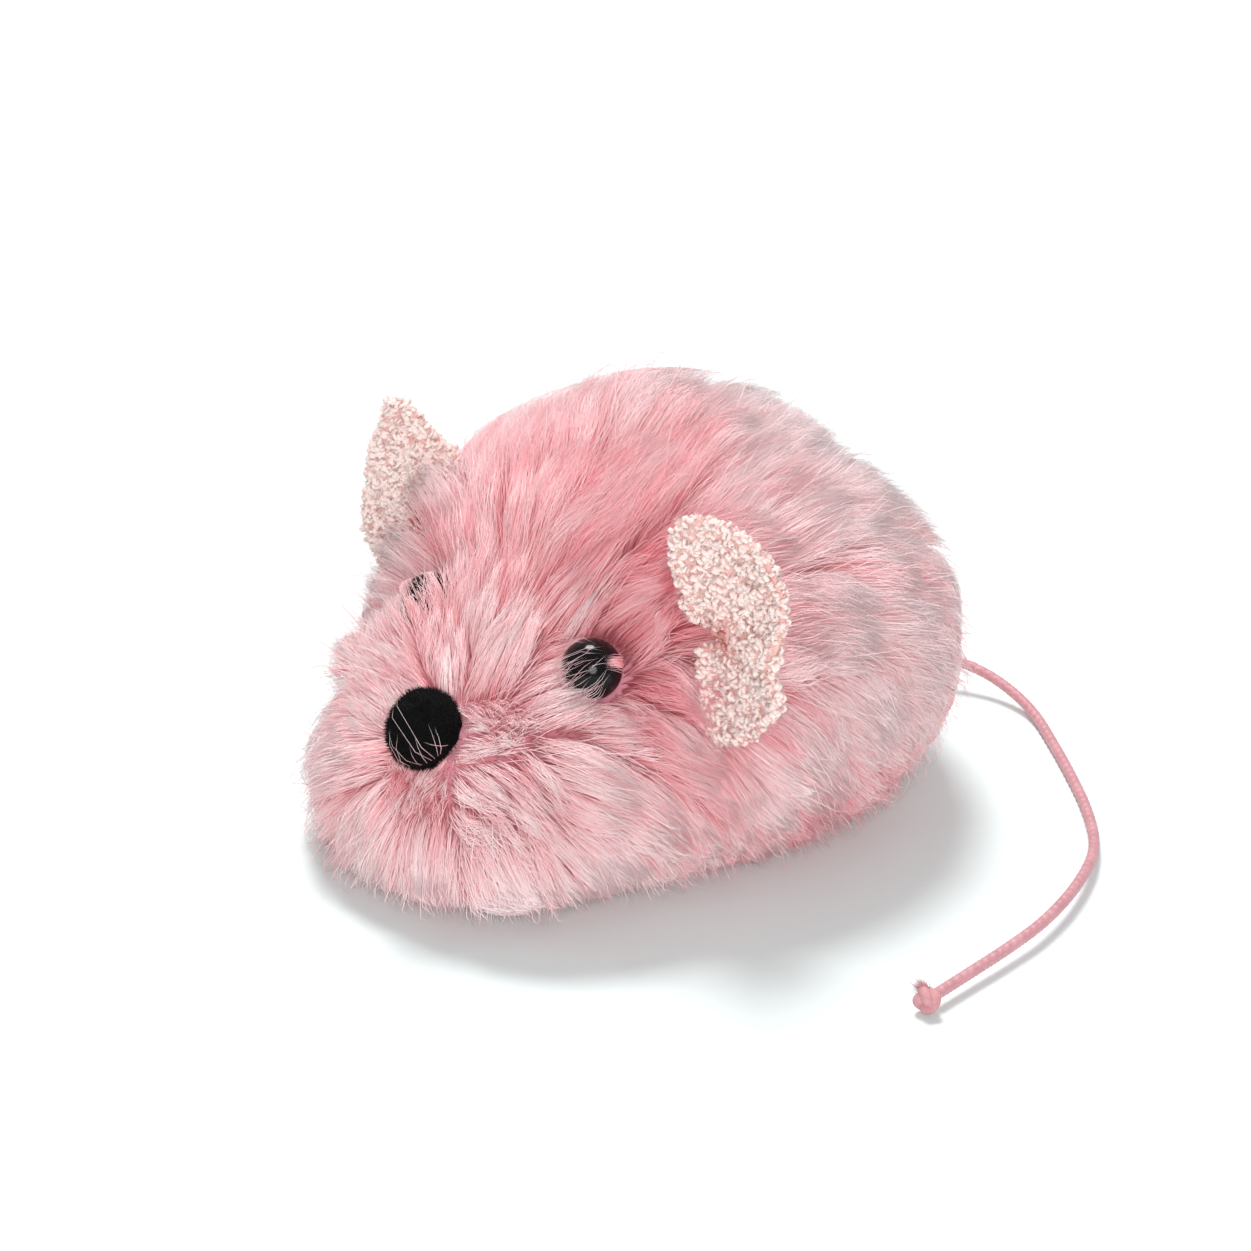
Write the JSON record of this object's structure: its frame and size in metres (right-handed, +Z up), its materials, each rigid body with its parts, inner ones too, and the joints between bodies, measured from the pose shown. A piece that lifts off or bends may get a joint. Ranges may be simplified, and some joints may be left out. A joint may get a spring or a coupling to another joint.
{
  "type": "clockwork mouse",
  "caption": "Plush-covered clockwork toy mouse with cloth ears, bead eyes, a flocked nose, a knotted cord tail, a winding key and a spring-driven axle.",
  "frame": {"origin": "on the floor below the middle of the furred body", "axes": "the nose points along -Y, +X is the left flank, +Z is up"},
  "size_m": [0.1095, 0.1114, 0.0572],
  "materials": {
    "fur": "long silky pile, combed back",
    "shell_plastic": "moulded, satin",
    "tray_plastic": "moulded, satin",
    "frame_steel": "zinc plated sheet",
    "brass": "machined",
    "bright_steel": "polished",
    "nickel": "nickel plated",
    "spring_steel": "blued",
    "wheel_plastic": "moulded, glossy",
    "tyre_rubber": "matt",
    "nose_flock": "flocked",
    "eye_black": "polished",
    "ear_terry": "looped terry",
    "grommet_plastic": "moulded, satin",
    "tail_cotton": "waxed cotton, braided"
  },
  "bodies": {
    "mouse": {"fur_coat": "fur", "body_shell": "shell_plastic", "chassis_tray": "tray_plastic", "left_frame_plate": "frame_steel", "right_frame_plate": "frame_steel", "frame_pillars": "brass", "key_bush": "brass", "mainspring": "spring_steel", "roller_fork": "frame_steel", "roller_pin": "bright_steel", "tray_screws": "bright_steel", "motor_screws": "bright_steel", "nose": "nose_flock", "nose_washer": "bright_steel", "left_eye": "eye_black", "right_eye": "eye_black", "eye_washers": "bright_steel", "left_ear": "ear_terry", "right_ear": "ear_terry", "tail_grommet": "grommet_plastic", "tail_stop_knot": "tail_cotton", "tail_cord": "tail_cotton", "tail_knot": "tail_cotton"},
    "main_wheel": {"main_wheel": "brass", "click_rivet": "brass", "click_spring": "spring_steel"},
    "click": {"click": "bright_steel"},
    "winding": {"winding_arbor": "bright_steel", "winding_key": "nickel", "ratchet_wheel": "brass"},
    "second_shaft": {"second_arbor": "bright_steel", "second_pinion": "brass", "second_wheel": "brass"},
    "axle": {"axle_pinion": "brass", "drive_axle": "bright_steel", "left_wheel_hub": "wheel_plastic", "right_wheel_hub": "wheel_plastic", "left_tyre": "tyre_rubber", "right_tyre": "tyre_rubber"},
    "roller": {"front_roller": "wheel_plastic"}
  },
  "joints": [
    {"name": "main_wheel_spin", "type": "hinge", "parent": "mouse", "child": "main_wheel", "pos_m": [0.004, -0.00549, 0.01986], "axis": [1, 0, 0], "continuous": true},
    {"name": "second_wheel_spin", "type": "hinge", "parent": "mouse", "child": "second_shaft", "pos_m": [0.004, 0.008, 0.01939], "axis": [1, 0, 0], "continuous": true},
    {"name": "drive_axle_spin", "type": "hinge", "parent": "mouse", "child": "axle", "pos_m": [0, 0.014, 0.009], "axis": [1, 0, 0], "continuous": true},
    {"name": "key_wind", "type": "hinge", "parent": "main_wheel", "child": "winding", "pos_m": [0, -0.00549, 0.01986], "axis": [1, 0, 0], "range_deg": [-2160, 0]},
    {"name": "click_pivot", "type": "hinge", "parent": "main_wheel", "child": "click", "pos_m": [0.002, -0.01106, 0.01475], "axis": [1, 0, 0], "range_deg": [0, 12], "deforming": ["click_spring"]},
    {"name": "front_roller_spin", "type": "hinge", "parent": "mouse", "child": "roller", "pos_m": [0, -0.028, 0.004], "axis": [1, 0, 0], "continuous": true}
  ],
  "couplings": [
    {"joint": "second_wheel_spin", "follows": "main_wheel_spin", "ratio": -3.5},
    {"joint": "drive_axle_spin", "follows": "main_wheel_spin", "ratio": 10.5}
  ]
}
